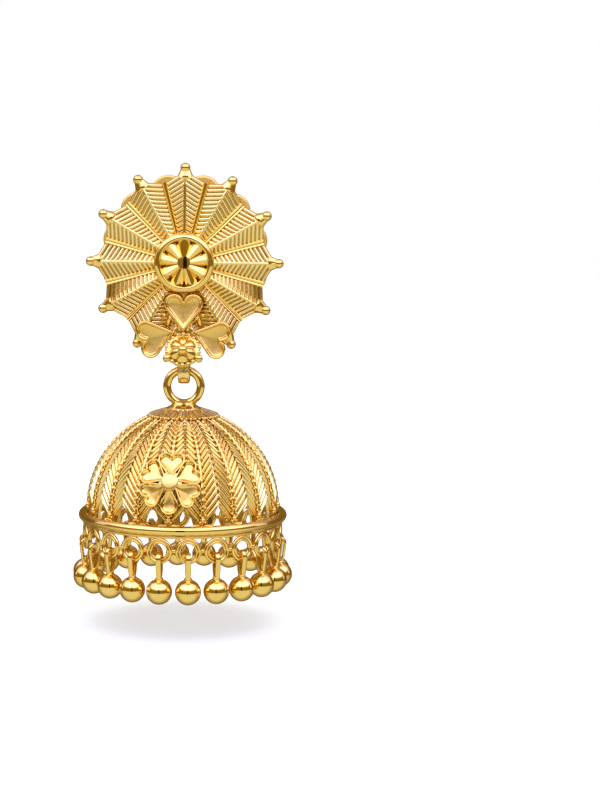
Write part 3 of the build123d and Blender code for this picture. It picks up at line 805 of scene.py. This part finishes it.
def dome_row(apex, height, pit, inner=0.0, window=False):
    """One zigzag row round the dome, highest in the middle of each gore, and its relief.

    The row lies at this height over the skin, or at pit in the middle of each gore. A window's
    row follows the windows' edges, and inner is how far the row lies inside the skin.
    """
    half = dome_columns(apex)
    share = np.concatenate([-half[:0:-1], half[:-1]])
    across = np.abs(share)
    if window:
        fall = WINDOW_HEIGHT * (across * half_gore_width(0.0) / WINDOW_HALF) ** 2
        length = np.maximum(apex - fall, SKIN_FOOT)
    else:
        length = np.full(len(share), apex)
        for _ in range(6):                  # a row's fall depends on the width where it ends
            length = apex - across * RIB_DROP * half_gore_width(length)
    relief = np.where(across < 0.5 * (half[1] + half[2]), pit, height)
    lift = relief + FOLD_RISE * (1 - across) - FOLD_FALL * across - inner
    rows = []
    for gore in range(GORES):
        azimuth = GORE_PHASE + (gore + 0.5 + share / 2) * GORE_STEP
        rows.append(dome_place(SKIN_RADIUS + lift, length, azimuth))
    # painted shade: the pits and groove floors get darker colour
    return np.vstack(rows), np.tile(relief_value(relief, *DOME_RELIEF), GORES)


def rib_starts():
    """Distance up the meridian where each rib starts, closer together towards the top."""
    starts = [WINDOW_TOP + WINDOW_FRAME]
    for rib in range(DOME_RIBS):
        starts.append(starts[-1] + RIB_PITCH - RIB_CLOSING * rib)
    return starts


def dome_sheet():
    """Ribbed skin of the dome and its smooth inside, as one closed shell, and its relief."""
    starts = rib_starts()
    rows = [dome_row(WINDOW_TOP, WINDOW_EDGE, WINDOW_EDGE, window=True)]
    for rib in range(DOME_RIBS):
        pitch = starts[rib + 1] - starts[rib]
        strength = 1.0 if rib < DOME_RIBS - FAINT_RIBS else FAINT_SHARE
        # The lowest rib has no groove below it, because the window's frame is there.
        for share, height in DOME_RIB if rib > 0 else DOME_RIB[1:]:
            pit = PIT_HEIGHT if rib > 0 and share < PIT_END else height - MITRE_DROP
            rows.append(dome_row(starts[rib] + share * pitch, height * strength, pit * strength))
    for apex in starts[:0:-1]:
        rows.append(dome_row(apex, 0.0, 0.0, DOME_SKIN))
    rows.append(dome_row(WINDOW_TOP, WINDOW_EDGE, WINDOW_EDGE, DOME_SKIN, window=True))
    points, tones = zip(*rows)
    return loft(points, closed=True), np.concatenate(tones)


WIRE_RADIUS = 0.245
WIRE_SHIFT = 1.6                # it starts this far below the lowest rib's apex
# Share of a rib's pitch, thickness of the wire as a share of its usual one.
WIRE_WAVE = [(0.0, 0.80), (0.25, 1.0), (0.5, 1.15), (0.75, 1.0)]


def meridian_wire():
    """Wavy wire up the edge of a gore, swelling once for each rib."""
    starts = rib_starts()[:-1]
    lengths = []
    sizes = []
    for start, end in zip(starts, starts[1:]):
        for share, size in WIRE_WAVE:
            lengths.append(start - WIRE_SHIFT + share * (end - start))
            sizes.append([size, size])
    path = dome_place(SKIN_RADIUS, np.array(lengths), 0.0)
    return sweep(path, WIRE_RADIUS * circle(8), (1, 0, 0), sizes=sizes)


RIB_BEAD_RADIUS = 0.19
RIB_BEAD_LIFT = 0.02
RIB_BEAD_ASIDE = 0.34           # from the middle of the wire
RIB_BEAD_DROP = 0.35            # below the rib's own end
RIB_FALL = 1.5                  # usual fall of a rib from its apex to the wire


def rib_ends():
    """Small granules where the ribs run into the wire."""
    bead = ball(RIB_BEAD_RADIUS, 8)
    ends = Shells()
    for start in rib_starts()[1:-4]:
        fall = RIB_DROP * float(half_gore_width(start - RIB_FALL))
        length = start - RIB_BEAD_DROP - fall
        radius = ARC_X + ARC_RADIUS * math.cos(length / ARC_RADIUS)
        aside = math.degrees(RIB_BEAD_ASIDE / radius)
        for side in (-1, 1):
            place = dome_place(SKIN_RADIUS + RIB_BEAD_LIFT, length, side * aside)
            ends.add(moved(bead, place))
    return np.vstack(ends.points), ends.faces


BASE_BEAD_RADIUS = 0.36
BASE_BEAD_LIFT = 0.05
BASE_BEAD_UP = 0.45             # at the foot of each wire, along the arc


def build_dome():
    dome = Shells()
    sheet, tones = dome_sheet()
    dome.add(sheet, CAST, tones)
    base_place = dome_place(SKIN_RADIUS + BASE_BEAD_LIFT, BASE_BEAD_UP, 0.0)
    base_bead = moved(ball(BASE_BEAD_RADIUS, 16), base_place)
    for part in (meridian_wire(), rib_ends(), base_bead):
        dome.around(part, GORES, "Z", GORE_PHASE)
    dome.build("dome_shell", "pendant", "dome", sharp=55, move=UNDER_RING)


# ------------------------ cap and ring
CAP_RADIUS = 4.6
CAP_INNER = 1.3
CAP_STEP = 2.25                 # radius of one more row of points under the cap
CAP_PLEATS = 24
CAP_THICKNESS = 0.18
CAP_ARC = 13.71                 # arc radius of its underside
CAP_RIDGE = 0.12                # height of the fine ridges
CAP_PLEAT = 0.10                # and of the pleats that they ride on
CAP_FADE = 3                    # both are full from a third of the way out
CAP_DARKEST = 0.65              # relief between the ridges, which gives painted shade there
CAP_BEAD_LIFT = 0.1
CAP_BEAD_RADIUS = 0.2           # of the beads on its edge
DOME_TOP_Z = ARC_Z + ARC_RADIUS
RING_RADIUS = 2.26
RING_WIRE = 0.56
RING_Z = cad_box("cap_with_ring")[1][2] - RING_RADIUS - RING_WIRE
# Radius of the neck under the ring and height above the dome's top.
NECK = [
    (0, -0.3),
    (2.45, -0.3),
    (2.35, -0.05),
    (2.08, 0.10),
    (1.80, 0.26),
    (1.58, 0.46),
    (1.46, 0.70),
]
# The rest of it: radius and height above the middle of the wire at the ring's foot.
NECK_TOP = [(1.30, 0.30), (0, 0.42)]


def cap_place(radius, lift, azimuth):
    """Point over the dome at this radius and this height above the cap's underside."""
    angle = math.acos((radius - ARC_X) / CAP_ARC)
    return dome_place(CAP_ARC + lift, angle * ARC_RADIUS, azimuth)


def cap_sheet():
    """Pleated cap: two fine ridges to a pleat, fading towards the neck, and its relief."""
    columns = CAP_PLEATS * 12
    turns = np.linspace(0, 360, columns, endpoint=False)
    ridges = 0.5 - 0.5 * np.cos(np.radians(turns * CAP_PLEATS * 2))
    pleats = 0.5 - 0.5 * np.cos(np.radians(turns * CAP_PLEATS))
    # painted shade: darker between the ridges
    tone = CAP_DARKEST + (1 - CAP_DARKEST) * relief_value(ridges, 0.0, 0.5)
    rows = []
    tones = []
    for radius in np.linspace(CAP_INNER, CAP_RADIUS, 12):
        share = (radius - CAP_INNER) / (CAP_RADIUS - CAP_INNER)
        lift = (CAP_RIDGE * ridges + CAP_PLEAT * pleats) * min(1, share * CAP_FADE)
        rows.append(cap_place(radius, CAP_THICKNESS + lift, turns))
        tones.append(tone)
    for radius in (CAP_RADIUS + 0.02, CAP_STEP, CAP_INNER):
        rows.append(cap_place(radius, np.zeros(columns), turns))
        tones.append(np.ones(columns))
    return loft(rows, closed=True), np.concatenate(tones)


def build_cap():
    cap = Shells()
    sheet, tones = cap_sheet()
    cap.add(sheet, CAST, tones)
    bead = moved(ball(CAP_BEAD_RADIUS, 12), cap_place(CAP_RADIUS, CAP_BEAD_LIFT, 0.0))
    cap.around(bead, 2 * CAP_PLEATS, "Z")
    neck = [(radius, DOME_TOP_Z + height) for radius, height in NECK]
    neck += [(radius, RING_Z - RING_RADIUS + height) for radius, height in NECK_TOP]
    cap.add(lathe(neck, 48))
    ring = facing_front(ring_wire(RING_RADIUS, RING_WIRE, 72, 24))
    cap.add(moved(ring, (0, 0, RING_Z)))
    cap.build("cap_ring", "pendant", "cap_with_ring", move=UNDER_RING)


# ------------------------ flower on the dome
FLOWER_ANGLE = 21.7             # up the dome's meridian
FLOWER_PHASE = -4.5             # and to the side
FLOWER_LIFT = 0.42              # of its back over the dome's arc
PETAL = heart_lobes(3.5, 3.6, 0.36)
DROP_PETAL = (0.0, 2.45, 1.2)   # the lowest petal has one round lobe
PETAL_CUP = {"rim": 0.20, "thickness": 0.76, "wall": 0.32, "pocket": 0.44, "sink": 0.06}
PETAL_START = 0.45              # from the flower's middle to a petal's point
PETAL_TILT = 8                  # the petals' outer ends lean down to the dome
FLOWER_DISC = [(0, 0), (1.5, 0), (1.5, 0.34), (1.3, 0.42), (0, 0.42)]
FLOWER_BOSS = [
    (0, -0.1),
    (0.98, -0.1),
    (1.04, 0.6),
    (1.14, 0.86),
    (1.13, 0.96),
    (1.06, 1.03),
    (0.85, 1.07),
    (0.6, 1.10),
    (0.3, 1.12),
    (0, 1.125),
]


def on_dome(shape):
    """A face-up shape set on the front of the dome, looking straight out of it."""
    angle = math.radians(FLOWER_ANGLE)
    out = ARC_X + (ARC_RADIUS + FLOWER_LIFT) * math.cos(angle)
    up = ARC_Z + (ARC_RADIUS + FLOWER_LIFT) * math.sin(angle)
    leaning = turned(facing_front(shape), "X", -FLOWER_ANGLE)
    return turned(moved(leaning, (0, -out, up)), "Z", FLOWER_PHASE)


def build_flower():
    flower = Shells()
    for turn in range(0, 360, 60):
        lobes = DROP_PETAL if turn == 180 else PETAL
        petal, finishes = cup(lobes, floor=SATIN, shallow=0.9, **PETAL_CUP)
        leaning = moved(turned(petal, "X", -PETAL_TILT), (0, PETAL_START, 0))
        flower.add(on_dome(turned(leaning, "Z", turn)), finishes)
    flower.add(on_dome(lathe(FLOWER_DISC, 36)), CAST)
    flower.add(on_dome(lathe(FLOWER_BOSS, 48)), SATIN)
    flower.build("flower", "pendant", "dome_flower", move=UNDER_RING)


# ------------------------ rim and eyelets
RIM_WIRE = 0.65
RIM_RADIUS = 13.45
RIM_Z = cad_box("rim_gallery")[1][2] - RIM_WIRE
BAND_RADIUS = 13.33
BAND_WIRE = 0.28
BAND_DROP = 0.76
DROPS = 22
DROP_PHASE = 6.3                # azimuth of the first drop and its eyelet
EYELET_CIRCLE = 13.25           # distance of the eyelets and drops from the dome's axis
EYELET_OUTER = 1.74
EYELET_WIRE = 0.24
EYELET_Z = cad_box("rim_gallery")[0][2] + EYELET_OUTER
# Radius of the ring and of the wire, for an eyelet's two wires.
EYELET_WIRES = [(EYELET_OUTER - EYELET_WIRE, EYELET_WIRE), (1.11, 0.185)]
GRANULE_RADIUS = 0.30


def build_gallery():
    """Rim, band below it, and double eyelets with a granule between each two."""
    gallery = Shells()
    gallery.add(moved(ring_wire(RIM_RADIUS, RIM_WIRE, 180, 24), (0, 0, RIM_Z)))
    gallery.add(moved(ring_wire(BAND_RADIUS, BAND_WIRE, 180, 16), (0, 0, RIM_Z - BAND_DROP)))
    place = (0, -EYELET_CIRCLE, EYELET_Z)
    for ring_radius, wire_radius in EYELET_WIRES:
        eyelet = facing_front(ring_wire(ring_radius, wire_radius, 48, 14))
        gallery.around(moved(eyelet, place), DROPS, "Z", DROP_PHASE)
    granule = moved(ball(GRANULE_RADIUS, 16), place)
    gallery.around(granule, DROPS, "Z", DROP_PHASE + 180 / DROPS)
    gallery.build("gallery", "pendant", "rim_gallery", move=UNDER_RING)


# ------------------------ drops
BALL_RADIUS = 1.70
LINK_BEND = 0.68                # radius of its bend over the eyelet
LINK_FOOT = 0.26                # half the distance between its legs, at the ball
LINK_SUNK = 0.1                 # its legs end this far inside the ball
LINK_TOP = 3.29                 # above the ball's top
LINK_HALF_THICK = 0.21
LINK_SPREAD = 0.8               # power of the curve in which its legs spread
LINK_SQUARE = 0.7               # power that makes its section squarer than an ellipse
# Share of the link's height, half width of the wire.
LINK_WIDTHS = [(0, 0.28), (0.2, 0.36), (0.7, 0.36), (1, 0.33)]
# Radius and height above the ball's top.
COLLAR = [(0, -0.15), (0.52, -0.15), (0.55, 0.02), (0.48, 0.14), (0.3, 0.2), (0, 0.2)]


def link_loop():
    """Flattened wire bent over the eyelet, its legs closing in on the ball."""
    foot_z = BALL_RADIUS - LINK_SUNK
    bend_z = BALL_RADIUS + LINK_TOP - LINK_BEND
    leg = []
    for share in np.linspace(0, 1, 7)[:-1]:
        spread = LINK_FOOT + (LINK_BEND - LINK_FOOT) * share**LINK_SPREAD
        leg.append((spread, foot_z + (bend_z - foot_z) * share))
    bend = LINK_BEND * np.array([(math.cos(a), math.sin(a)) for a in np.linspace(0, math.pi, 13)])
    half = leg + [(x, bend_z + z) for x, z in bend]
    path = np.array([(0, x, z) for x, z in half + [(-x, z) for x, z in leg[::-1]]])
    width = along(LINK_WIDTHS, (path[:, 2] - foot_z) / LINK_TOP)
    sizes = np.column_stack([np.full(len(path), LINK_HALF_THICK), width])
    section = np.sign(circle(16)) * np.abs(circle(16)) ** LINK_SQUARE
    return sweep(path, section, (1, 0, 0), sizes=sizes)


def build_drops():
    """A ball with its collar and link in the place of each drop, every link in its eyelet."""
    drop_ball = ball(BALL_RADIUS, 56)
    link = link_loop()
    collar = moved(lathe(COLLAR, 24), (0, 0, BALL_RADIUS))
    for number in range(DROPS):
        node = f"drop_{number + 1:02d}"
        low, high = cad_box(node)
        centre = ((low[0] + high[0]) / 2, (low[1] + high[1]) / 2, low[2] + BALL_RADIUS)
        drop = Shells()
        drop.add(drop_ball)
        drop.add(turned(link, "Z", DROP_PHASE + number * 360 / DROPS))
        drop.add(collar)
        drop.build(f"ball_{node}", "pendant", node, move=centre)


# ------------------------ pieces kept from the frame
def dress_kept_nodes():
    for node in ("back_plate", "ear_post"):
        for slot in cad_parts[node].material_slots:
            slot.material = plate_gold


# ------------------------ studio
FLOOR_Z = cad_bounds[0][2] - 0.005          # the earring hangs just above it
FLOOR_SIDE = 0.16
FLOOR_FRONT = -0.085            # its near edge is just below the picture
FLOOR_BACK = 1.0
PAPER = (0.45, 0.47, 0.445, 1)
PAPER_ROUGHNESS = 0.9
PAPER_SPECULAR = 0.1
PAPER_LIGHT = (1, 0.995, 0.985, 1)
PAPER_GLOW = 0.52               # light from under the paper, which keeps the shadow pale


def build_floor():
    material = bpy.data.materials.new("paper")
    material.use_nodes = True
    shader = material.node_tree.nodes["Principled BSDF"]
    shader.inputs["Base Color"].default_value = PAPER
    shader.inputs["Emission Color"].default_value = PAPER_LIGHT
    shader.inputs["Emission Strength"].default_value = PAPER_GLOW
    shader.inputs["Roughness"].default_value = PAPER_ROUGHNESS
    shader.inputs["Specular IOR Level"].default_value = PAPER_SPECULAR
    mesh = bpy.data.meshes.new("floor")
    corners = [
        (-FLOOR_SIDE, FLOOR_FRONT, FLOOR_Z),
        (FLOOR_SIDE, FLOOR_FRONT, FLOOR_Z),
        (FLOOR_SIDE, FLOOR_BACK, FLOOR_Z),
        (-FLOOR_SIDE, FLOOR_BACK, FLOOR_Z),
    ]
    mesh.from_pydata(corners, [], [(0, 1, 2, 3)])
    mesh.materials.append(material)
    floor = bpy.data.objects.new("floor", mesh)
    bpy.context.scene.collection.objects.link(floor)
    floor.visible_glossy = False            # the gold sees the world's own ground instead


TENT_STRENGTH = 4.0
GROUND = (0.22, 0.22, 0.225, 1)
HORIZON = (0.068, 0.046, 0.012, 1)
LAMP = (0.60, 0.55, 1.0, 1)
# Height of a direction (-1 down, 0 level, 1 up) and a quarter of the light that comes from it.
TENT = [
    (-1.0, GROUND),
    (-0.16, GROUND),
    (-0.12, HORIZON),
    (0.26, HORIZON),
    (0.37, (0.18, 0.145, 0.09, 1)),
    (0.46, (0.36, 0.33, 0.42, 1)),
    (0.53, LAMP),
    (0.92, LAMP),
    (0.97, (0.30, 0.265, 0.25, 1)),
    (1.0, (0.22, 0.185, 0.13, 1)),
]
WHITE = (1, 1, 1, 1)
BEHIND = (0.05, 0.03, 0.006, 1)             # what the tent fades to behind the earring
BEHIND_FADE = (-0.32, 0.55, 0.0, 0.88)      # from and to this Y, the share of it at each
# Strips and slot: the least and most X, Y or Z of a direction, and how soft their edges are.
STRIP = (0.25, 0.22, 0.34, 1)               # pale strips at the earring's sides
STRIP_Y = (0.06, 0.30, 0.06)
STRIP_Z = (0.10, 0.50, 0.06)
SLOT = (0.004, 0.002, 0.0, 1)               # dark slot in front of it
SLOT_X = (-0.07, 0.07, 0.03)
SLOT_Z = (-0.12, 0.44, 0.06)
SLOT_FADE = (-0.3, -0.2, 1.0, 0.0)          # as BEHIND_FADE


def product(tree, first, second):
    return add_node(tree, "Math", "Value", {0: first, 1: second}, operation="MULTIPLY")


def window(tree, value, low, high, soft):
    """1 between low and high, falling to 0 within soft outside them."""
    rise = slope(tree, value, low - soft, low)
    return product(tree, rise, slope(tree, value, high, high + soft, 1.0, 0.0))


def tent_light(tree, x, y, z):
    """Colour of the tent by height alone, and the same with its dark back, strips and slot."""
    ramp = tree.nodes.new("ShaderNodeValToRGB")
    tree.links.new(slope(tree, z, -1.0, 1.0), ramp.inputs["Fac"])
    stops = ramp.color_ramp.elements
    for height, colour in TENT[1:-1]:
        stops.new((height + 1) / 2)
    for stop, (height, colour) in zip(stops, TENT):
        stop.position = (height + 1) / 2
        stop.color = colour
    by_height = ramp.outputs["Color"]
    colour = mixed(tree, slope(tree, y, *BEHIND_FADE), by_height, BEHIND)
    strips = product(tree, window(tree, y, *STRIP_Y), window(tree, z, *STRIP_Z))
    colour = mixed(tree, strips, colour, STRIP)
    slot = product(tree, window(tree, x, *SLOT_X), window(tree, z, *SLOT_Z))
    slot = product(tree, slot, slope(tree, y, *SLOT_FADE))
    return by_height, mixed(tree, slot, colour, SLOT)


def build_light():
    """Soft tent: bright overhead, brown at the horizon and behind, white for the camera."""
    world = bpy.data.worlds.new("studio")
    bpy.context.scene.world = world
    world.use_nodes = True
    tree = world.node_tree
    tree.nodes.clear()

    def background(colour, strength):
        inputs = {"Color": colour, "Strength": strength}
        return add_node(tree, "Background", "Background", inputs)

    def chosen(ray, otherwise, shown):
        """What rays of this kind see, and what the others do."""
        is_ray = add_node(tree, "LightPath", ray)
        return add_node(tree, "MixShader", "Shader", {"Fac": is_ray, 1: otherwise, 2: shown})

    direction = add_node(tree, "TexCoord", "Generated")
    axes = tree.nodes.new("ShaderNodeSeparateXYZ")
    tree.links.new(direction, axes.inputs["Vector"])
    by_height, mirrored = tent_light(tree, *axes.outputs)
    # Diffuse surfaces are lit by the tent's grey, so the paper takes no tint from it.
    grey = add_node(tree, "RGBToBW", "Val", {"Color": by_height})
    reflected = background(mirrored, TENT_STRENGTH)
    light = chosen("Is Diffuse Ray", reflected, background(grey, TENT_STRENGTH))
    light = chosen("Is Camera Ray", light, background(WHITE, 1.0))
    output = tree.nodes.new("ShaderNodeOutputWorld")
    tree.links.new(light, output.inputs["Surface"])


CAMERA_PLACE = (0.01568, -0.28485, 0.01544)
CAMERA_PITCH = 6.8              # degrees down
CAMERA_ROLL = 0.8               # degrees; the earring leans a little in the picture
CAMERA_LENS = 63.45
CAMERA_SENSOR = 24


def build_camera():
    data = bpy.data.cameras.new("camera")
    data.sensor_fit = "VERTICAL"
    data.sensor_height = CAMERA_SENSOR
    data.lens = CAMERA_LENS
    data.clip_start = 0.01
    camera = bpy.data.objects.new("camera", data)
    pitch = Matrix.Rotation(math.radians(90 - CAMERA_PITCH), 4, "X")
    roll = Matrix.Rotation(math.radians(CAMERA_ROLL), 4, "Z")
    camera.matrix_world = Matrix.Translation(CAMERA_PLACE) @ pitch @ roll
    bpy.context.scene.collection.objects.link(camera)
    bpy.context.scene.camera = camera


build_star()
build_button()
build_hearts()
build_rosette()
build_dome()
build_cap()
build_flower()
build_gallery()
build_drops()
dress_kept_nodes()
build_floor()
build_light()
build_camera()
bpy.context.scene.view_settings.view_transform = "Standard"
